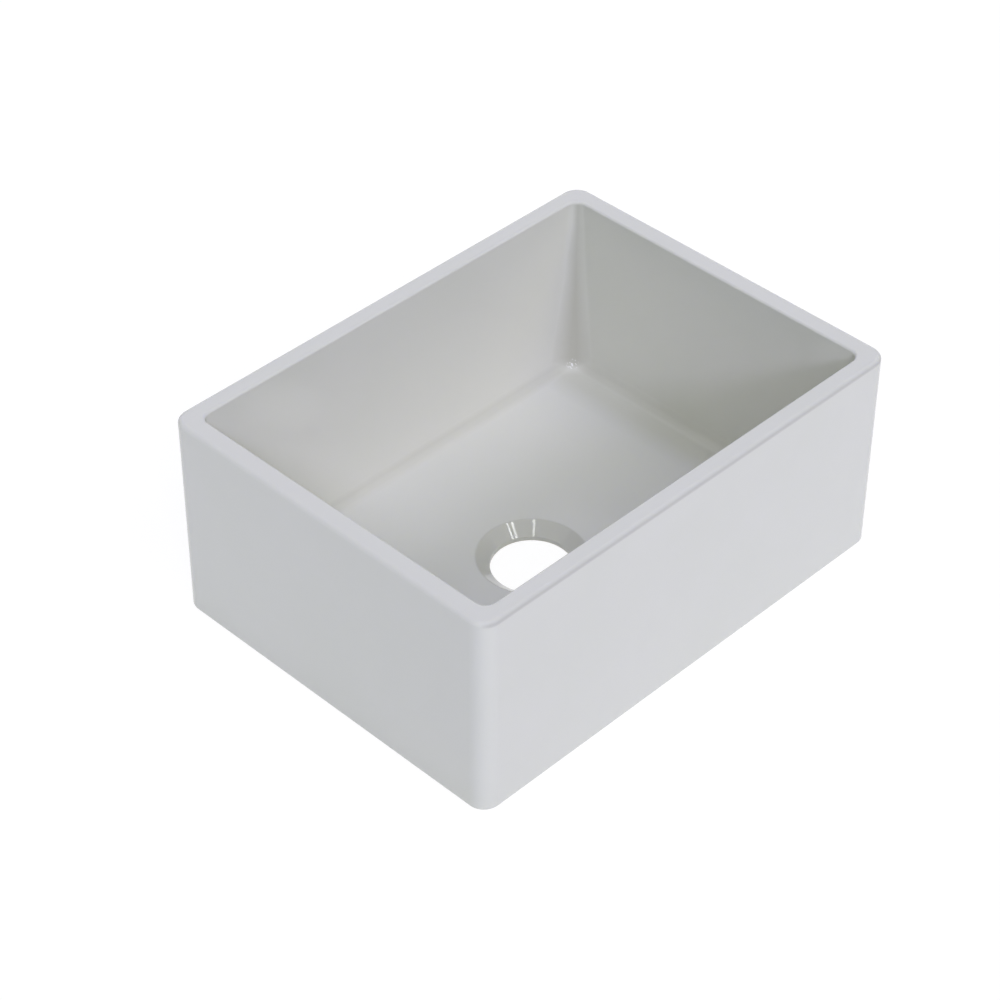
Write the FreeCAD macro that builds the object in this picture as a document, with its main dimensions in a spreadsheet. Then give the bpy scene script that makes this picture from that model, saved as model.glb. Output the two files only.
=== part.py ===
"""One-piece fireclay kitchen sink with a plain front, a square-shouldered bowl and a waste hole.

Millimetres, +Z up. The origin is the centre of the base, on the surface that carries the sink.
+X runs along the front, and -Y is the front face that shows below a worktop.
"""
import FreeCAD, Part
import math
import os
import Sketcher

# The driving sizes, each written once, in millimetres.
SIZES = {
    # the block as it is bought
    "overall_length": 600.0,
    "overall_width": 450.0,
    "overall_height": 250.0,
    "outer_corner": 20.0,
    "base_round": 3.0,
    # the rim, which is the top of the walls
    "end_wall": 23.0,
    "side_wall": 21.0,
    "rim_outer_round": 5.0,
    "rim_inner_round": 3.0,
    "rim_inner_corner": 12.0,
    # the foot of the walls, where the bowl turns into its floor
    "wall_lean": 1.0,
    "foot_height": 24.0,
    "foot_corner": 33.0,
    "foot_round": 15.0,
    # the floor falls from a narrow ledge at the foot to a flat collar at the waste
    "foot_ledge": 1.0,
    "floor_fall": 6.7,
    "collar_width": 3.0,
    # the waste hole and the tapered seat above it
    "waste_radius": 46.0,
    "waste_wall": 5.0,
    "waste_edge_round": 1.0,
    "seat_radius": 61.5,
    "seat_lip_round": 2.0,
    # how far a cut or a filling runs past the surface that it works on
    "overrun": 5.0,
}

# The flats on the collar's outline, which is all but round, as a share of its half side.
COLLAR_FLAT_SHARE = 0.01
# Two places this close, as a share of the length, are the same place.
SAME_PLACE_SHARE = 0.00001

# Sizes that follow from the sheet, as expressions over it.
HOLLOW_LENGTH = "(Sizes.overall_length - 2 * Sizes.end_wall)"
HOLLOW_WIDTH = "(Sizes.overall_width - 2 * Sizes.side_wall)"
HOLLOW_DEPTH = "(Sizes.overall_height - Sizes.foot_height)"
FLOOR_INSET = "(Sizes.wall_lean + Sizes.foot_round + Sizes.foot_ledge)"
COLLAR_HEIGHT = "(Sizes.foot_height - Sizes.floor_fall)"

doc = FreeCAD.newDocument("kitchen_sink")
sheet = doc.addObject("Spreadsheet::Sheet", "Sizes")


def fill_sheet():
    """Put every driving size in the sheet under its own name."""
    for row, (name, value) in enumerate(SIZES.items(), start=1):
        sheet.set("A%d" % row, name)
        sheet.set("B%d" % row, str(value))
        sheet.setAlias("B%d" % row, name)
    doc.recompute()


def value_of(expression):
    """The number that an expression over the sheet gives now."""
    return float(sheet.evalExpression(expression))


def origin_plane(body, role):
    """The body's own origin plane with this role."""
    return next(item for item in body.Origin.OriginFeatures if item.Role == role)


def new_sketch(body, name, role, height=None):
    """A sketch on one of the body's origin planes, lifted by an expression."""
    sketch = body.newObject("Sketcher::SketchObject", name)
    sketch.AttachmentSupport = [(origin_plane(body, role), "")]
    sketch.MapMode = "FlatFace"
    if height:
        sketch.setExpression("AttachmentOffset.Base.z", height)
    return sketch


def constrain(sketch, name, expression, kind, *places):
    """Add a dimension, name it and tie it to the sheet."""
    index = sketch.addConstraint(Sketcher.Constraint(kind, *places, value_of(expression)))
    sketch.renameConstraint(index, name)
    sketch.setExpression("Constraints." + name, expression)


def join_ends(sketch, count):
    """Join each of a closed outline's pieces to the next."""
    for piece in range(count):
        after = (piece + 1) % count
        sketch.addConstraint(Sketcher.Constraint("Coincident", piece, 2, after, 1))


def lay_square(sketch, level, upright):
    """Keep the straight pieces of an outline along the sketch's own axes."""
    for piece in level:
        sketch.addConstraint(Sketcher.Constraint("Horizontal", piece))
    for piece in upright:
        sketch.addConstraint(Sketcher.Constraint("Vertical", piece))


def add_lines(sketch, points):
    """Add straight pieces through these points, in order."""
    for start, end in zip(points, points[1:]):
        sketch.addGeometry(Part.LineSegment(start, end), False)


def rectangle(body, name, length, width, height):
    """A sharp rectangle centred on the origin. Its sizes are expressions."""
    sketch = new_sketch(body, name, "XY_Plane", height)
    far_x = value_of(length) / 2
    far_y = value_of(width) / 2
    corners = [
        FreeCAD.Vector(-far_x, -far_y, 0),
        FreeCAD.Vector(far_x, -far_y, 0),
        FreeCAD.Vector(far_x, far_y, 0),
        FreeCAD.Vector(-far_x, far_y, 0),
    ]
    add_lines(sketch, corners + corners[:1])
    join_ends(sketch, 4)
    lay_square(sketch, (0, 2), (1, 3))
    sketch.addConstraint(Sketcher.Constraint("Symmetric", 0, 1, 2, 1, -1, 1))
    constrain(sketch, "length", length, "DistanceX", 0, 1, 0, 2)
    constrain(sketch, "width", width, "DistanceY", 1, 1, 1, 2)
    doc.recompute()
    return sketch


def rounded_rectangle(body, name, length, width, corner, height=None):
    """A rectangle with round corners, centred on the origin. Its sizes are expressions."""
    sketch = new_sketch(body, name, "XY_Plane", height)
    radius = value_of(corner)
    far_x = value_of(length) / 2 - radius
    far_y = value_of(width) / 2 - radius
    centres = [
        FreeCAD.Vector(far_x, far_y, 0),
        FreeCAD.Vector(-far_x, far_y, 0),
        FreeCAD.Vector(-far_x, -far_y, 0),
        FreeCAD.Vector(far_x, -far_y, 0),
    ]
    up = FreeCAD.Vector(0, 0, 1)
    # each corner's arc, then the straight side that follows it
    for number, centre in enumerate(centres):
        start = number * math.pi / 2
        end = start + math.pi / 2
        arc = Part.ArcOfCircle(Part.Circle(centre, up, radius), start, end)
        sketch.addGeometry(arc, False)
        outward = FreeCAD.Vector(radius * math.cos(end), radius * math.sin(end), 0)
        next_centre = centres[(number + 1) % 4]
        sketch.addGeometry(Part.LineSegment(centre + outward, next_centre + outward), False)
    for arc in (0, 2, 4, 6):
        sketch.addConstraint(Sketcher.Constraint("Tangent", arc, 2, arc + 1, 1))
        sketch.addConstraint(Sketcher.Constraint("Tangent", arc + 1, 2, (arc + 2) % 8, 1))
    lay_square(sketch, (1, 5), (3, 7))
    for arc in (2, 4, 6):
        sketch.addConstraint(Sketcher.Constraint("Equal", 0, arc))
    sketch.addConstraint(Sketcher.Constraint("Symmetric", 0, 3, 4, 3, -1, 1))
    constrain(sketch, "length", length, "DistanceX", 3, 1, 7, 1)
    constrain(sketch, "width", width, "DistanceY", 5, 1, 1, 1)
    constrain(sketch, "corner", corner, "Radius", 0)
    doc.recompute()
    return sketch


def names_of(kind, shapes, wanted):
    """The names of the edges or faces for which the test holds."""
    return ["%s%d" % (kind, number) for number, item in enumerate(shapes, start=1) if wanted(item)]


def same(first, second):
    """True for two lengths that are equal but for rounding."""
    return abs(first - second) < SAME_PLACE_SHARE * SIZES["overall_length"]


def level_at(item, height):
    """True for an edge or face that lies flat at this height."""
    return same(item.BoundBox.ZMin, height) and same(item.BoundBox.ZMax, height)


def ring_of(edge, radius):
    """True for an edge whose ends lie this far from the upright centre line."""
    return all(same(math.hypot(vertex.X, vertex.Y), radius) for vertex in edge.Vertexes)


def outside_mid_rim(edge):
    """True for an edge that lies outside the middle of the walls' thickness."""
    half_x = (SIZES["overall_length"] - SIZES["end_wall"]) / 2
    half_y = (SIZES["overall_width"] - SIZES["side_wall"]) / 2
    middle = edge.valueAt((edge.FirstParameter + edge.LastParameter) / 2)
    return abs(middle.x) > half_x or abs(middle.y) > half_y


def round_edges(body, name, base, radius, wanted):
    """A fillet of the sheet's radius on the chosen edges of the last feature."""
    edges = names_of("Edge", base.Shape.Edges, wanted)
    if not edges:
        raise RuntimeError(name + " found no edge")
    fillet = body.newObject("PartDesign::Fillet", name)
    fillet.Base = (base, edges)
    fillet.setExpression("Radius", radius)
    doc.recompute()
    return fillet


def block(body):
    """The outside: an upright block with round corners."""
    outline = rounded_rectangle(
        body, "block_outline", "Sizes.overall_length", "Sizes.overall_width", "Sizes.outer_corner"
    )
    pad = body.newObject("PartDesign::Pad", "block")
    pad.Profile = outline
    pad.setExpression("Length", "Sizes.overall_height")
    doc.recompute()
    return pad


def hollow(body):
    """The bowl with upright walls and sharp corners, down to the foot."""
    outline = rectangle(body, "hollow_outline", HOLLOW_LENGTH, HOLLOW_WIDTH, "Sizes.overall_height")
    pocket = body.newObject("PartDesign::Pocket", "hollow")
    pocket.Profile = outline
    pocket.setExpression("Length", HOLLOW_DEPTH)
    doc.recompute()
    return pocket


def lean_walls(body, base):
    """The bowl's walls leaned in towards the foot, so that the casting leaves its mould."""
    half_x = value_of(HOLLOW_LENGTH) / 2
    half_y = value_of(HOLLOW_WIDTH) / 2

    def is_wall(face):
        box = face.BoundBox
        across_x = same(box.XMin, box.XMax) and same(abs(box.XMin), half_x)
        across_y = same(box.YMin, box.YMax) and same(abs(box.YMin), half_y)
        return across_x or across_y

    faces = base.Shape.Faces
    rim = names_of("Face", faces, lambda face: level_at(face, SIZES["overall_height"]))
    draft = body.newObject("PartDesign::Draft", "lean_walls")
    draft.Base = (base, names_of("Face", faces, is_wall))
    draft.NeutralPlane = (base, rim)
    draft.setExpression("Angle", "atan(Sizes.wall_lean / %s)" % HOLLOW_DEPTH)
    doc.recompute()
    return draft


def add_corner_arc(sketch, centre_x, centre_y, radius):
    """Add a quarter circle that bulges away from the origin, as the sketch's first piece."""
    circle = Part.Circle(FreeCAD.Vector(centre_x, centre_y, 0), FreeCAD.Vector(0, 0, 1), radius)
    sketch.addGeometry(Part.ArcOfCircle(circle, 0, math.pi / 2), False)


def place_corner_arc(sketch, reach_x, reach_y, radius):
    """Hold the quarter circle by its radius and by how far it reaches from the origin."""
    # its centre is level with its start and under its end
    sketch.addConstraint(Sketcher.Constraint("Horizontal", 0, 3, 0, 1))
    sketch.addConstraint(Sketcher.Constraint("Vertical", 0, 3, 0, 2))
    constrain(sketch, "radius", radius, "Radius", 0)
    constrain(sketch, "reach_x", reach_x, "DistanceX", -1, 1, 0, 1)
    constrain(sketch, "reach_y", reach_y, "DistanceY", -1, 1, 0, 2)


def filling_outline(body, name, lean, radius, height):
    """One hollow corner's filling: its arc, and straight sides that end inside the walls."""
    sketch = new_sketch(body, name, "XY_Plane", height)
    reach_x = "(%s / 2 - %s)" % (HOLLOW_LENGTH, lean)
    reach_y = "(%s / 2 - %s)" % (HOLLOW_WIDTH, lean)
    curve = value_of(radius)
    far_x = value_of(reach_x)
    far_y = value_of(reach_y)
    past = SIZES["overrun"]
    add_corner_arc(sketch, far_x - curve, far_y - curve, curve)
    points = [
        FreeCAD.Vector(far_x - curve, far_y, 0),
        FreeCAD.Vector(far_x - curve, far_y + past, 0),
        FreeCAD.Vector(far_x + past, far_y + past, 0),
        FreeCAD.Vector(far_x + past, far_y - curve, 0),
        FreeCAD.Vector(far_x, far_y - curve, 0),
    ]
    add_lines(sketch, points)
    join_ends(sketch, 5)
    lay_square(sketch, (2, 4), (1, 3))
    place_corner_arc(sketch, reach_x, reach_y, radius)
    constrain(sketch, "past_x", "Sizes.overrun", "DistanceX", 4, 2, 4, 1)
    constrain(sketch, "past_y", "Sizes.overrun", "DistanceY", 1, 1, 1, 2)
    doc.recompute()
    return sketch


def mirrored_twice(body, name, feature):
    """Repeat a corner's feature at the other three corners."""
    corners = body.newObject("PartDesign::MultiTransform", name)
    corners.Originals = [feature]
    mirrors = []
    for role in ("YZ_Plane", "XZ_Plane"):
        mirror = body.newObject("PartDesign::Mirrored", "%s_across_%s" % (name, role[:2]))
        mirror.MirrorPlane = (origin_plane(body, role), [""])
        mirrors.append(mirror)
    corners.Transformations = mirrors
    body.Tip = corners
    doc.recompute()
    return corners


def round_corners(body):
    """Fill the hollow's corners, narrowly at the rim and widely at the foot."""
    filling = body.newObject("PartDesign::AdditiveLoft", "corner_filling")
    filling.Profile = filling_outline(
        body, "filling_at_rim", "0", "Sizes.rim_inner_corner", "Sizes.overall_height"
    )
    filling.Sections = [
        filling_outline(
            body, "filling_at_foot", "Sizes.wall_lean", "Sizes.foot_corner", "Sizes.foot_height"
        )
    ]
    filling.Ruled = True
    doc.recompute()
    return mirrored_twice(body, "round_corners", filling)


def sloped_pair(body, name, foot_x, foot_y, collar_x, collar_y):
    """Cut a hipped hollow from the foot down to the collar. The half sizes are expressions."""
    wedge = body.newObject("PartDesign::SubtractiveWedge", name)
    # the wedge is tapered along its own Y, which this turn stands upright
    upright = FreeCAD.Rotation(FreeCAD.Vector(1, 0, 0), 90)
    wedge.Placement = FreeCAD.Placement(FreeCAD.Vector(0, 0, 0), upright)
    ends = {
        "Ymin": COLLAR_HEIGHT,
        "Ymax": "Sizes.foot_height",
        "Xmax": collar_x,
        "Zmax": collar_y,
        "X2max": foot_x,
        "Z2max": foot_y,
        "Xmin": "-" + collar_x,
        "Zmin": "-" + collar_y,
        "X2min": "-" + foot_x,
        "Z2min": "-" + foot_y,
    }
    for end, expression in ends.items():
        setattr(wedge, end, value_of(expression))
        wedge.setExpression(end, expression)
    doc.recompute()
    return wedge


def slice_outline(body, name, reach_x, reach_y, radius, height):
    """A slice of a level outline, from the centre line out to the round of one corner."""
    sketch = new_sketch(body, name, "XY_Plane", height)
    curve = value_of(radius)
    far_x = value_of(reach_x)
    far_y = value_of(reach_y)
    add_corner_arc(sketch, far_x - curve, far_y - curve, curve)
    points = [
        FreeCAD.Vector(far_x - curve, far_y, 0),
        FreeCAD.Vector(0, 0, 0),
        FreeCAD.Vector(far_x, far_y - curve, 0),
    ]
    add_lines(sketch, points)
    join_ends(sketch, 3)
    sketch.addConstraint(Sketcher.Constraint("Coincident", 1, 2, -1, 1))
    place_corner_arc(sketch, reach_x, reach_y, radius)
    doc.recompute()
    return sketch


def falling_floor(body):
    """Four flat slopes with coned corners between them, from the foot down to the collar."""
    foot_x = "(%s / 2 - %s)" % (HOLLOW_LENGTH, FLOOR_INSET)
    foot_y = "(%s / 2 - %s)" % (HOLLOW_WIDTH, FLOOR_INSET)
    foot_curve = "(Sizes.foot_corner - Sizes.foot_round - Sizes.foot_ledge)"
    collar = "(Sizes.seat_radius + Sizes.collar_width)"
    collar_curve = "(%s * (1 - %s))" % (collar, COLLAR_FLAT_SHARE)
    foot_flat_x = "(%s - %s)" % (foot_x, foot_curve)
    foot_flat_y = "(%s - %s)" % (foot_y, foot_curve)
    collar_flat = "(%s - %s)" % (collar, collar_curve)
    sloped_pair(body, "long_slopes", foot_flat_x, foot_y, collar_flat, collar)
    sloped_pair(body, "end_slopes", foot_x, foot_flat_y, collar, collar_flat)
    corner = body.newObject("PartDesign::SubtractiveLoft", "slope_corner")
    corner.Profile = slice_outline(
        body, "slice_at_foot", foot_x, foot_y, foot_curve, "Sizes.foot_height"
    )
    corner.Sections = [
        slice_outline(body, "slice_at_waste", collar, collar, collar_curve, COLLAR_HEIGHT)
    ]
    corner.Ruled = True
    doc.recompute()
    return mirrored_twice(body, "slope_corners", corner)


def waste_outline(body):
    """Half the section of the waste hole and its tapered seat, beside the centre line."""
    sketch = new_sketch(body, "waste_outline", "XZ_Plane")
    run = "(Sizes.seat_radius - Sizes.waste_radius)"
    rise = "(%s - Sizes.waste_wall)" % COLLAR_HEIGHT
    # the cone is drawn on past the collar by the overrun, at its own slope
    top = "(%s + Sizes.overrun)" % COLLAR_HEIGHT
    top_radius = "(Sizes.seat_radius + Sizes.overrun * %s / %s)" % (run, rise)
    hole = SIZES["waste_radius"]
    below = SIZES["overrun"]
    slope = math.atan2(value_of(rise), value_of(run))
    curve = SIZES["waste_edge_round"]
    setback = curve * math.tan((math.pi / 2 - slope) / 2)
    corner = FreeCAD.Vector(hole, SIZES["waste_wall"], 0)
    along = FreeCAD.Vector(math.cos(slope), math.sin(slope), 0)
    arc_start = corner - FreeCAD.Vector(0, setback, 0)
    arc_end = corner + along * setback
    centre = arc_start + FreeCAD.Vector(curve, 0, 0)
    cone_top = FreeCAD.Vector(value_of(top_radius), value_of(top), 0)
    circle = Part.Circle(centre, FreeCAD.Vector(0, 0, 1), curve)
    arc = Part.ArcOfCircle(circle, math.pi / 2 + slope, math.pi)
    sketch.addGeometry(arc, False)
    points = [
        arc_end,
        cone_top,
        FreeCAD.Vector(0, cone_top.y, 0),
        FreeCAD.Vector(0, -below, 0),
        FreeCAD.Vector(hole, -below, 0),
        arc_start,
    ]
    add_lines(sketch, points)
    sketch.addGeometry(Part.Point(corner), True)
    arc, cone, lid, centre_line, bottom, wall, sharp = range(7)
    sketch.addConstraint(Sketcher.Constraint("Tangent", arc, 1, cone, 1))
    sketch.addConstraint(Sketcher.Constraint("Tangent", wall, 2, arc, 2))
    for piece in (cone, lid, centre_line, bottom):
        sketch.addConstraint(Sketcher.Constraint("Coincident", piece, 2, piece + 1, 1))
    lay_square(sketch, (lid, bottom), (centre_line, wall))
    sketch.addConstraint(Sketcher.Constraint("PointOnObject", centre_line, 1, -2))
    sketch.addConstraint(Sketcher.Constraint("PointOnObject", sharp, 1, cone))
    sketch.addConstraint(Sketcher.Constraint("PointOnObject", sharp, 1, wall))
    constrain(sketch, "edge_round", "Sizes.waste_edge_round", "Radius", arc)
    constrain(sketch, "hole_radius", "Sizes.waste_radius", "DistanceX", -1, 1, bottom, 2)
    constrain(sketch, "hole_wall", "Sizes.waste_wall", "DistanceY", -1, 1, sharp, 1)
    constrain(sketch, "below", "Sizes.overrun", "DistanceY", bottom, 2, -1, 1)
    constrain(sketch, "top_radius", top_radius, "DistanceX", -1, 1, cone, 2)
    constrain(sketch, "top_height", top, "DistanceY", -1, 1, cone, 2)
    doc.recompute()
    return sketch


def waste_seat(body):
    """The waste hole and its seat, turned about the upright centre line."""
    outline = waste_outline(body)
    groove = body.newObject("PartDesign::Groove", "waste_seat")
    groove.Profile = outline
    groove.ReferenceAxis = (outline, ["V_Axis"])
    groove.Angle = 360
    doc.recompute()
    return groove


def sink_bowl():
    """The whole sink, cast and fired as one piece."""
    height = SIZES["overall_height"]
    foot_height = SIZES["foot_height"]
    body = doc.addObject("PartDesign::Body", "sink_bowl")
    body.Label = "sink_bowl"
    solid = block(body)
    pocket = hollow(body)
    lean_walls(body, pocket)
    corners = round_corners(body)
    foot = round_edges(
        body,
        "foot_round",
        corners,
        "Sizes.foot_round",
        lambda edge: level_at(edge, foot_height),
    )
    floor = falling_floor(body)
    seat = waste_seat(body)
    for before, after in ((solid, pocket), (foot, floor), (floor, seat)):
        if after.Shape.Volume >= before.Shape.Volume:
            raise RuntimeError(after.Name + " cut nothing")
    lip = round_edges(
        body,
        "seat_lip",
        seat,
        "Sizes.seat_lip_round",
        lambda edge: level_at(edge, value_of(COLLAR_HEIGHT))
        and ring_of(edge, SIZES["seat_radius"]),
    )
    outside = round_edges(
        body,
        "rim_outside",
        lip,
        "Sizes.rim_outer_round",
        lambda edge: level_at(edge, height) and outside_mid_rim(edge),
    )
    inside = round_edges(
        body,
        "rim_inside",
        outside,
        "Sizes.rim_inner_round",
        lambda edge: level_at(edge, height) and not outside_mid_rim(edge),
    )
    body.Tip = round_edges(
        body,
        "base_edge",
        inside,
        "Sizes.base_round",
        lambda edge: level_at(edge, 0) and outside_mid_rim(edge),
    )
    body.Placement = FreeCAD.Placement()
    doc.recompute()
    return body


def check(bodies):
    """Stop before anything is written if an object failed or a solid is not sound."""
    for item in doc.Objects:
        if "Invalid" in item.State or "Error" in item.State:
            raise RuntimeError("%s failed: %s" % (item.Name, item.State))
    for body in bodies:
        shape = body.Shape
        if shape.isNull() or not shape.isValid() or len(shape.Solids) != 1:
            raise RuntimeError(body.Label + " is not one sound solid")


def write(bodies):
    """Write each piece to its own file, named after its label."""
    os.makedirs("parts", exist_ok=True)
    for body in bodies:
        body.Shape.exportStep("parts/%s.step" % body.Label)
        print(body.Label, "volume", round(body.Shape.Volume), "mm3")


fill_sheet()
pieces = [sink_bowl()]
check(pieces)
write(pieces)
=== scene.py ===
"""A plain-front fireclay kitchen sink, seen from above its left front corner.

Metres, +Z up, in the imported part's own frame: the origin is the middle of the base, +X runs
along the front and -Y faces out of it.
"""
import math

import bmesh
import bpy
from mathutils import Matrix, Vector

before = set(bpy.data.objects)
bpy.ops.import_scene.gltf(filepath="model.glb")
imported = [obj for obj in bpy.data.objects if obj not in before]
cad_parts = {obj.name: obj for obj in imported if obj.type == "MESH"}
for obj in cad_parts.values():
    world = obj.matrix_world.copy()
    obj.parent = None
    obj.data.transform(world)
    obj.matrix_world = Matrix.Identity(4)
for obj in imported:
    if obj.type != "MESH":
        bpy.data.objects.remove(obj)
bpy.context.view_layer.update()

# The camera that took the photograph, worked out from the sink's outline and rim lines.
# Its angles are in degrees, its lens and sensor in millimetres.
CAMERA_PLACE = (-1.6930, -1.6107, 2.0592)
CAMERA_AZIMUTH = -45.5647
CAMERA_ELEVATION = 40.0383
CAMERA_ROLL = 0.2936
CAMERA_LENS = 103.322
CAMERA_SENSOR = 36.0

# Fired white glaze: as it lies on the flats, clouded, pooled and darkened by painted shade in the
# bowl's rounds, darker in a line over the rim's outer edge, its specks and its painted glints; and
# the bare clay under it.
GLAZE_WHITE = (0.708, 0.708, 0.658, 1.0)
GLAZE_CLOUD = (0.698, 0.701, 0.645, 1.0)
GLAZE_POOLED_SHADE = (0.530, 0.527, 0.463, 1.0)
GLAZE_EDGE_LINE = (0.545, 0.543, 0.506, 1.0)
GLAZE_SPECK = (0.600, 0.590, 0.540, 1.0)
GLAZE_PAINTED_GLINT = (0.880, 0.880, 0.860, 1.0)
CLAY_PALE = (0.680, 0.640, 0.560, 1.0)
CLAY_DARK = (0.600, 0.560, 0.480, 1.0)

# How fine each pattern in the glaze and the clay is, from coarse to fine.
CLOUD_SCALE = 9.0
WAVE_SCALE = 16.0
WEAR_SCALE = 38.0
PEEL_SCALE = 260.0
PUCKER_SCALE = 300.0
SPECK_SCALE = 420.0
GLINT_SCALE = 430.0
GRAIN_SCALE = 900.0

# Which share of a pattern counts, from none of it to all of it.
CLOUDED = (0.35, 0.65)
WORN = (0.30, 0.70)
SPECKED = (0.80, 0.86)
SPECK_DEPTHS = (0.0, 0.5)
GLINTING = (0.57, 0.64)
GRAINY = (0.30, 0.70)

# How rough the glaze is on the flats, least to most, where it is thick, and the bare clay.
FLAT_ROUGHNESS = (0.12, 0.16)
THICK_ROUGHNESS = 0.06
CLAY_ROUGHNESS = 0.85
GLAZE_IOR = 1.5

# How high the glaze's waves, orange peel and puckers stand, and how much of the first two shows.
WAVE_RISE = 0.0006
PEEL_RISE = 0.00004
PUCKER_RISE = 0.00020
RIPPLE_STRENGTH = 0.35

# What a spread gives, from the low end of its span to the high end.
RISING = (0.0, 1.0)
FALLING = (1.0, 0.0)

# The sockets of a Mix node that blends plain values.
MIX_SHARE = 0
MIX_FIRST = 2
MIX_SECOND = 3

# The inside of the bowl: half its length and width at the walls, its upright corners' radius
# from the foot to the rim, the height of its foot, the foot's round, and the waste seat.
BOWL_HALF_LENGTH = 0.2768
BOWL_HALF_WIDTH = 0.2038
CORNER_HEIGHTS = (0.024, 0.250)
CORNER_RADII = (0.033, 0.012)
FOOT_HEIGHT = 0.024
FOOT_ROUND = 0.015
SEAT_SPAN = (0.0615, 0.0635)

# An upright corner's pool of darker glaze, partly painted shade. It reaches so many of the corner's
# radii along each wall, further near the foot and less along the long wall near the rim. It fades
# over a share of that reach, is thinner higher up, and ends a share of the foot's round above the
# floor.
POOL_SHADE_FOOT_HEIGHTS = (0.06, 0.16)
POOL_SHADE_RIM_HEIGHTS = (0.18, 0.22)
ALONG_SIDE_FOOT_RADII = (1.5, 1.0)
ALONG_SIDE_RIM_SHARES = (1.0, 0.67)
ALONG_END_FOOT_RADII = (1.2, 1.0)
ALONG_SIDE_FADE_SHARES = (0.25, 0.78)
ALONG_END_FADE_SHARES = (0.36, 0.82)
POOL_SHADE_THIN_HEIGHTS = (0.10, 0.24)
POOL_SHADE_THIN_DEPTHS = (1.0, 0.7)
POOL_SHADE_END_SHARES = (0.10, 0.45)

# The rolled foot's pool and painted shade, in shares of its round, and the painted shadow on the
# strip of floor by the end walls.
FOOT_FADE_SHARES = (0.5, 1.0)
FOOT_DEPTHS = (0.6, 0.0)
SHADOW_STRIP_WIDTHS = (0.030, 0.058)
SHADOW_STRIP_DEPTHS = (0.36, 0.0)
SHADOW_STRIP_END_SHARES = (0.0, 0.6)
# How dark the waste seat is made: pooled glaze and painted shade.
SEAT_SHADE_DEPTH = 0.52

# The pools and painted shade are inside the bowl: off the walls, over the floor and under the rim's
# round.
INSIDE_WALLS = (-0.0030, -0.0012)
INSIDE_FLOOR = (0.010, 0.014)
UNDER_RIM = (0.2450, 0.2478)

# The darker line over the rim's long outer edges, from above, from below, and where
# it ends, off the long wall.
EDGE_LINE_UPPER = (0.2474, 0.2499)
EDGE_LINE_LOWER = (0.2436, 0.2462)
EDGE_LINE_OUTSIDE = (-0.0185, -0.0125)

# At the foot of the back right corner the glaze puckered, and painted glints show in it as white
# flecks.
KNOT_PLACE = (0.2647, 0.1917, 0.0310)
KNOT_FADE = (0.003, 0.008)

# The base is bare up to here.
BARE_HEIGHTS = (0.0004, 0.0009)

# Soft studio lamps, far off: name, azimuth, elevation and breadth in degrees, strength, colour.
STUDIO_LAMPS = [
    ("front_left_key", 238, 32, 9, 0.413, (1.03, 1.0, 1.42)),
    ("front_left_softbox", 245, 36, 26, 0.115, (1.03, 1.0, 1.10)),
    ("front_softbox", 262, 36, 20, 0.553, (1.04, 1.0, 1.24)),
    ("front_right_softbox", 291, 40, 16, 0.165, (1.03, 1.0, 0.45)),
    ("high_right_softbox", 285, 55, 24, 0.435, (1.04, 1.0, 0.82)),
    ("high_left_softbox", 222, 57, 36, 0.580, (0.96, 1.0, 1.08)),
    ("left_softbox", 200, 35, 30, 0.100, (1.03, 1.0, 0.45)),
    ("low_left_softbox", 190, 15, 28, 0.155, (0.82, 1.0, 0.64)),
    ("back_left_softbox", 120, 40, 60, 0.400, (1.15, 1.0, 1.10)),
    ("back_right_softbox", 45, 35, 60, 0.795, (1.02, 1.0, 1.11)),
    ("overhead_skylight", 345, 80, 8, 0.150, (0.05, 0.05, 1.0)),
    ("small_left_lamp", 220.1, 62.5, 3.0, 0.0195, (1.0, 1.0, 1.0)),
    ("small_front_lamp", 275.7, 56.7, 3.0, 0.026, (1.0, 1.0, 1.0)),
    ("small_right_lamp", 286.0, 53.6, 2.0, 0.015, (1.0, 1.0, 1.0)),
]
# A lamp narrower than this shows in the glaze as a bright streak. The photographed glaze shows
# no broad ones, so these are kept out of reflections.
SHARP_LAMP = 5.0

# The studio round the sink: its light, and the white that the camera sees.
SKY_STRENGTH = 0.066
SKY_COLOUR = (0.60, 1.0, 1.48, 1.0)
BACKDROP_COLOUR = (1.0, 1.0, 1.0, 1.0)
BACKDROP_STRENGTH = 1.0

# The paper floor, which throws light up as PAPER_COLOUR does. What the camera sees is a glow,
# with a faint share of the light on it for the shadow. It lies a hair below the base, so that
# the two never share a plane.
FLOOR_HEIGHT = -0.0004
FLOOR_REACH = 8.0
PAPER_COLOUR = (0.93, 0.93, 0.93, 1.0)
SHADED_COLOUR = (0.12, 0.12, 0.12, 1.0)
FLOOR_GLOW = 0.92


def node_of(tree, kind, **settings):
    """A new node with its settings made."""
    node = tree.nodes.new(kind)
    for name, value in settings.items():
        setattr(node, name, value)
    return node


def noise(tree, place, scale, detail, roughness=0.5):
    """A cloudy pattern over a place."""
    node = node_of(tree, "ShaderNodeTexNoise")
    node.inputs["Scale"].default_value = scale
    node.inputs["Detail"].default_value = detail
    node.inputs["Roughness"].default_value = roughness
    tree.links.new(place, node.inputs["Vector"])
    return node.outputs["Fac"]


def spread(tree, value, span, result=RISING):
    """Values over a span, spread over a result, each from low to high."""
    node = node_of(tree, "ShaderNodeMapRange")
    for name, number in zip(("From Min", "From Max", "To Min", "To Max"), span + result):
        node.inputs[name].default_value = number
    tree.links.new(value, node.inputs["Value"])
    return node.outputs["Result"]


def blend(tree, share, first, second):
    """Two colours, each plain or from a node, blended by a share."""
    node = node_of(tree, "ShaderNodeMix", data_type="RGBA")
    tree.links.new(share, node.inputs["Factor"])
    for socket, colour in (("A", first), ("B", second)):
        target = next(s for s in node.inputs if s.name == socket and s.type == "RGBA")
        if isinstance(colour, tuple):
            target.default_value = colour
        else:
            tree.links.new(colour, target)
    return next(s for s in node.outputs if s.type == "RGBA")


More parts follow.
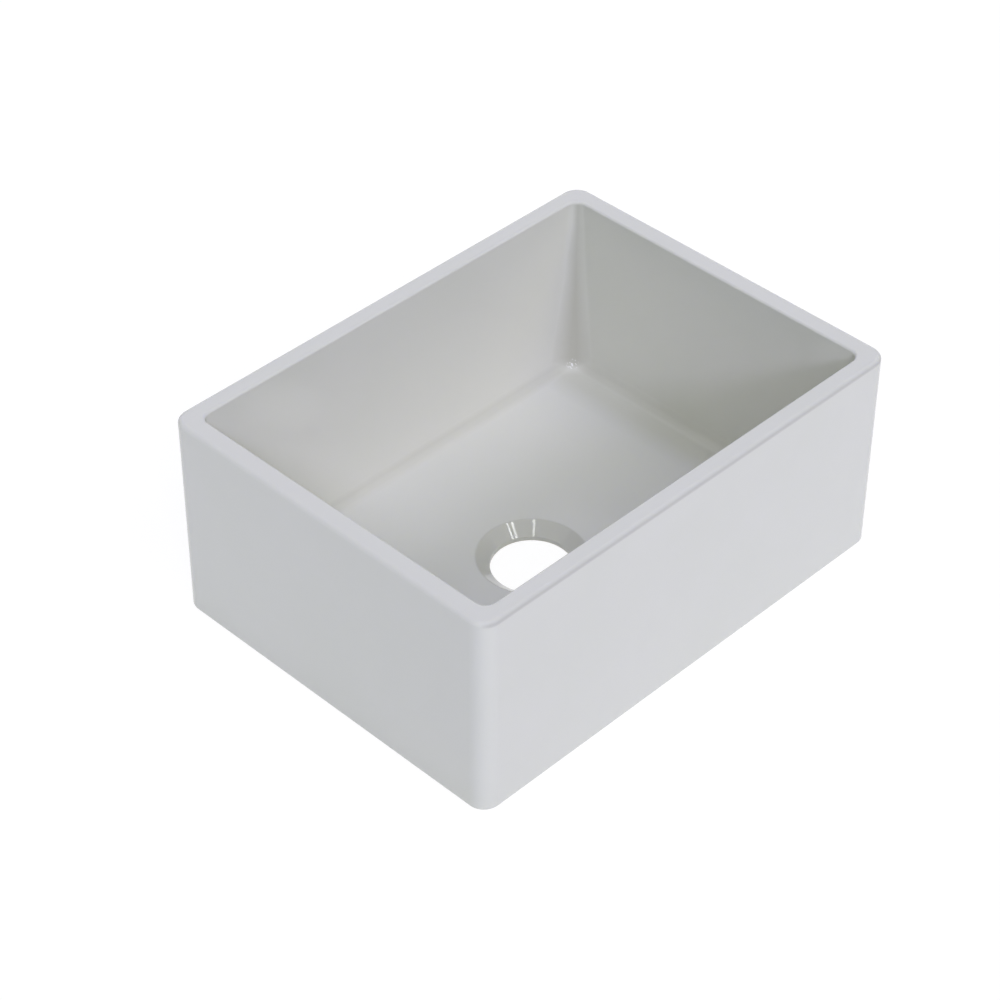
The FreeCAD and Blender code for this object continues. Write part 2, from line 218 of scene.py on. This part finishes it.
def mix_values(tree, share, first, second):
    """Two values, the second plain, blended by a share."""
    node = node_of(tree, "ShaderNodeMix", data_type="FLOAT")
    tree.links.new(share, node.inputs[MIX_SHARE])
    tree.links.new(first, node.inputs[MIX_FIRST])
    node.inputs[MIX_SECOND].default_value = second
    return node.outputs[0]


def reckon(tree, operation, first, second=0.0):
    """One sum of two values, each plain or from a node."""
    node = node_of(tree, "ShaderNodeMath", operation=operation)
    for socket, value in zip(node.inputs, (first, second)):
        if isinstance(value, float):
            socket.default_value = value
        else:
            tree.links.new(value, socket)
    return node.outputs["Value"]


def product(tree, first, *others):
    """Values from nodes, multiplied together."""
    total = first
    for value in others:
        total = reckon(tree, "MULTIPLY", total, value)
    return total


def ripple(tree, height, rise, strength, below=None):
    """A bump of a height, over the bump below it."""
    node = node_of(tree, "ShaderNodeBump")
    node.inputs["Distance"].default_value = rise
    if isinstance(strength, float):
        node.inputs["Strength"].default_value = strength
    else:
        tree.links.new(strength, node.inputs["Strength"])
    tree.links.new(height, node.inputs["Height"])
    if below is not None:
        tree.links.new(below, node.inputs["Normal"])
    return node.outputs["Normal"]


def measure(tree, place):
    """How far a place is off the bowl's end and long walls, above the base and from the waste."""
    split = node_of(tree, "ShaderNodeSeparateXYZ")
    tree.links.new(place, split.inputs["Vector"])
    along = reckon(tree, "ABSOLUTE", split.outputs["X"])
    across = reckon(tree, "ABSOLUTE", split.outputs["Y"])
    off_end = reckon(tree, "SUBTRACT", BOWL_HALF_LENGTH, along)
    off_side = reckon(tree, "SUBTRACT", BOWL_HALF_WIDTH, across)

    flat = node_of(tree, "ShaderNodeCombineXYZ")
    tree.links.new(along, flat.inputs["X"])
    tree.links.new(across, flat.inputs["Y"])
    from_waste = node_of(tree, "ShaderNodeVectorMath", operation="LENGTH")
    tree.links.new(flat.outputs["Vector"], from_waste.inputs[0])
    return off_end, off_side, split.outputs["Z"], from_waste.outputs["Value"]


def corner_pool_and_shade(tree, off_end, off_side, height, lift):
    """The pool and painted shade down an upright corner, its deepest line nearer the end wall."""
    radius = spread(tree, height, CORNER_HEIGHTS, CORNER_RADII)
    along_side = product(
        tree,
        radius,
        spread(tree, height, POOL_SHADE_FOOT_HEIGHTS, ALONG_SIDE_FOOT_RADII),
        spread(tree, height, POOL_SHADE_RIM_HEIGHTS, ALONG_SIDE_RIM_SHARES),
    )
    along_end = product(tree, radius, spread(tree, height, POOL_SHADE_FOOT_HEIGHTS, ALONG_END_FOOT_RADII))
    return product(
        tree,
        spread(tree, reckon(tree, "DIVIDE", off_end, along_side), ALONG_SIDE_FADE_SHARES, FALLING),
        spread(tree, reckon(tree, "DIVIDE", off_side, along_end), ALONG_END_FADE_SHARES, FALLING),
        spread(tree, height, POOL_SHADE_THIN_HEIGHTS, POOL_SHADE_THIN_DEPTHS),
        spread(tree, lift, POOL_SHADE_END_SHARES),
    )


def foot_pool_and_shadow(tree, off_end, off_wall, lift):
    """The pool and painted shade along the rolled foot, and a painted shadow on the floor by the
    end walls.
    """
    near = reckon(tree, "DIVIDE", off_wall, FOOT_ROUND)
    rolled = spread(tree, reckon(tree, "MAXIMUM", lift, near), FOOT_FADE_SHARES, FOOT_DEPTHS)
    shadow_strip = product(
        tree,
        spread(tree, off_end, SHADOW_STRIP_WIDTHS, SHADOW_STRIP_DEPTHS),
        spread(tree, lift, SHADOW_STRIP_END_SHARES, FALLING),
    )
    return reckon(tree, "MAXIMUM", rolled, shadow_strip)


def pooled_glaze_and_shade(tree, off_end, off_side, height, seat):
    """Where the glaze is pooled and darkened by painted shade, with the waste seat, from 0 on the
    flats to 1.
    """
    off_wall = reckon(tree, "MINIMUM", off_end, off_side)
    lift = reckon(tree, "DIVIDE", reckon(tree, "SUBTRACT", height, FOOT_HEIGHT), FOOT_ROUND)
    corner = corner_pool_and_shade(tree, off_end, off_side, height, lift)
    foot = foot_pool_and_shadow(tree, off_end, off_wall, lift)
    inside = product(
        tree,
        spread(tree, off_wall, INSIDE_WALLS),
        spread(tree, height, INSIDE_FLOOR),
        spread(tree, height, UNDER_RIM, FALLING),
    )
    bowl = product(tree, reckon(tree, "MAXIMUM", corner, foot), inside)
    return reckon(tree, "MAXIMUM", bowl, reckon(tree, "MULTIPLY", seat, SEAT_SHADE_DEPTH))


def dark_edge_line(tree, off_side, height):
    """Where a darker line runs over the rim's long outer edges."""
    return product(
        tree,
        spread(tree, height, EDGE_LINE_UPPER, FALLING),
        spread(tree, height, EDGE_LINE_LOWER),
        spread(tree, off_side, EDGE_LINE_OUTSIDE, FALLING),
    )


def puckered_glaze(tree, place):
    """Where the glaze puckered and glints are painted, at the foot of one corner."""
    distance = node_of(tree, "ShaderNodeVectorMath", operation="DISTANCE")
    tree.links.new(place, distance.inputs[0])
    distance.inputs[1].default_value = KNOT_PLACE
    return spread(tree, distance.outputs["Value"], KNOT_FADE, FALLING)


def glaze_material():
    """White glaze, fired on: faint clouding, rare fine specks, a soft ripple, a bare base."""
    material = bpy.data.materials.new("white_glaze")
    material.use_nodes = True
    tree = material.node_tree
    shader = tree.nodes["Principled BSDF"]
    place = node_of(tree, "ShaderNodeTexCoord").outputs["Object"]
    off_end, off_side, height, from_waste = measure(tree, place)

    # The glaze clouds a little over the length of the sink.
    clouds = noise(tree, place, CLOUD_SCALE, detail=3.0)
    colour = blend(tree, spread(tree, clouds, CLOUDED), GLAZE_WHITE, GLAZE_CLOUD)

    # It ran down and pooled in the bowl's rounds, where it is deeper and greener; painted shade
    # darkens the rounds, the waste seat and the floor by the end walls; a darker line runs over the
    # rim's outer edge.
    seat = spread(tree, from_waste, SEAT_SPAN, FALLING)
    pooled_and_shaded = pooled_glaze_and_shade(tree, off_end, off_side, height, seat)
    colour = blend(tree, pooled_and_shaded, colour, GLAZE_POOLED_SHADE)
    colour = blend(tree, dark_edge_line(tree, off_side, height), colour, GLAZE_EDGE_LINE)

    # Specks of iron from the clay, each under half a millimetre.
    specks = noise(tree, place, SPECK_SCALE, detail=1.0)
    colour = blend(tree, spread(tree, specks, SPECKED, SPECK_DEPTHS), colour, GLAZE_SPECK)

    # Painted glints: white flecks in the puckered glaze stand in for sparkles of light.
    knot = puckered_glaze(tree, place)
    painted_glints = spread(tree, noise(tree, place, GLINT_SCALE, detail=0.0), GLINTING)
    colour = blend(tree, product(tree, painted_glints, knot), colour, GLAZE_PAINTED_GLINT)

    # The base stood bare on the kiln's batts.
    grains = noise(tree, place, GRAIN_SCALE, detail=3.0, roughness=0.7)
    clay = blend(tree, spread(tree, grains, GRAINY), CLAY_DARK, CLAY_PALE)
    bare = spread(tree, height, BARE_HEIGHTS, FALLING)
    colour = blend(tree, bare, colour, clay)
    tree.links.new(colour, shader.inputs["Base Color"])

    # Thick glaze is glossiest; on the flats the gloss is softer and a little uneven.
    wear = noise(tree, place, WEAR_SCALE, detail=4.0, roughness=0.6)
    smooth = reckon(tree, "MAXIMUM", pooled_and_shaded, seat)
    gloss = mix_values(tree, smooth, spread(tree, wear, WORN, FLAT_ROUGHNESS), THICK_ROUGHNESS)
    gloss = mix_values(tree, bare, gloss, CLAY_ROUGHNESS)
    tree.links.new(gloss, shader.inputs["Roughness"])

    # Slow waves where the glaze ran, under a fine orange peel, and the puckers.
    waves = noise(tree, place, WAVE_SCALE, detail=1.0)
    peel = noise(tree, place, PEEL_SCALE, detail=2.0)
    puckers = noise(tree, place, PUCKER_SCALE, detail=0.0)
    surface = ripple(tree, waves, WAVE_RISE, RIPPLE_STRENGTH)
    surface = ripple(tree, peel, PEEL_RISE, RIPPLE_STRENGTH, surface)
    surface = ripple(tree, puckers, PUCKER_RISE, knot, surface)
    tree.links.new(surface, shader.inputs["Normal"])
    shader.inputs["IOR"].default_value = GLAZE_IOR
    return material


def dress_bowl():
    """The bowl keeps its own shape and gets its glaze."""
    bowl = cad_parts["sink_bowl"]
    bowl.data.materials.clear()
    bowl.data.materials.append(glaze_material())


def make_camera():
    """The camera, looking along its own -Z, turned by azimuth, elevation and roll."""
    data = bpy.data.cameras.new("photo_camera")
    data.lens = CAMERA_LENS
    data.sensor_width = CAMERA_SENSOR
    camera = bpy.data.objects.new("photo_camera", data)
    bpy.context.scene.collection.objects.link(camera)
    turn = Matrix.Rotation(math.radians(CAMERA_AZIMUTH), 4, "Z")
    tilt = Matrix.Rotation(math.radians(90 - CAMERA_ELEVATION), 4, "X")
    roll = Matrix.Rotation(math.radians(CAMERA_ROLL), 4, "Z")
    camera.matrix_world = Matrix.Translation(Vector(CAMERA_PLACE)) @ turn @ tilt @ roll
    bpy.context.scene.camera = camera


def seen_ray(tree):
    """1 for what the camera sees, straight or in a reflection or through glass."""
    path = node_of(tree, "ShaderNodeLightPath")
    total = path.outputs["Is Camera Ray"]
    for name in ("Is Glossy Ray", "Is Transmission Ray"):
        total = reckon(tree, "MAXIMUM", total, path.outputs[name])
    return total


def show_seen(tree, unseen, seen, output):
    """One shader for the light that falls on the sink, another for what the camera sees."""
    choose = node_of(tree, "ShaderNodeMixShader")
    tree.links.new(seen_ray(tree), choose.inputs["Fac"])
    tree.links.new(unseen.outputs[0], choose.inputs[1])
    tree.links.new(seen.outputs[0], choose.inputs[2])
    tree.links.new(choose.outputs[0], tree.nodes[output].inputs["Surface"])


def make_world():
    """A dim sky for the light, and plain white behind the sink."""
    world = bpy.data.worlds.new("studio")
    world.use_nodes = True
    tree = world.node_tree
    light = tree.nodes["Background"]
    light.inputs["Color"].default_value = SKY_COLOUR
    light.inputs["Strength"].default_value = SKY_STRENGTH
    backdrop = node_of(tree, "ShaderNodeBackground")
    backdrop.inputs["Color"].default_value = BACKDROP_COLOUR
    backdrop.inputs["Strength"].default_value = BACKDROP_STRENGTH
    show_seen(tree, light, backdrop, "World Output")
    bpy.context.scene.world = world


def paper_material():
    """White paper that keeps a faint shadow."""
    material = bpy.data.materials.new("white_paper")
    material.use_nodes = True
    tree = material.node_tree
    tree.nodes.remove(tree.nodes["Principled BSDF"])
    paper = node_of(tree, "ShaderNodeBsdfDiffuse")
    paper.inputs["Color"].default_value = PAPER_COLOUR
    shaded = node_of(tree, "ShaderNodeBsdfDiffuse")
    shaded.inputs["Color"].default_value = SHADED_COLOUR
    glow = node_of(tree, "ShaderNodeEmission")
    glow.inputs["Strength"].default_value = FLOOR_GLOW
    both = node_of(tree, "ShaderNodeAddShader")
    tree.links.new(shaded.outputs[0], both.inputs[0])
    tree.links.new(glow.outputs[0], both.inputs[1])
    show_seen(tree, paper, both, "Material Output")
    return material


def make_floor():
    """A plain sheet of paper under the sink."""
    mesh = bpy.data.meshes.new("studio_floor")
    shape = bmesh.new()
    lowered = Matrix.Translation((0.0, 0.0, FLOOR_HEIGHT))
    bmesh.ops.create_grid(shape, x_segments=1, y_segments=1, size=FLOOR_REACH, matrix=lowered)
    shape.to_mesh(mesh)
    shape.free()
    mesh.materials.append(paper_material())
    floor = bpy.data.objects.new("studio_floor", mesh)
    bpy.context.scene.collection.objects.link(floor)


def make_lamps():
    """The studio lamps, each shining at the sink from its azimuth and elevation."""
    for name, azimuth, elevation, breadth, strength, colour in STUDIO_LAMPS:
        data = bpy.data.lights.new(name, "SUN")
        data.angle = math.radians(breadth)
        data.energy = strength
        data.color = colour
        lamp = bpy.data.objects.new(name, data)
        lamp.visible_glossy = breadth < SHARP_LAMP
        bpy.context.scene.collection.objects.link(lamp)
        turn = Matrix.Rotation(math.radians(azimuth + 90), 4, "Z")
        tilt = Matrix.Rotation(math.radians(90 - elevation), 4, "X")
        lamp.matrix_world = turn @ tilt


bpy.context.scene.view_settings.view_transform = "Standard"
dress_bowl()
make_camera()
make_world()
make_floor()
make_lamps()
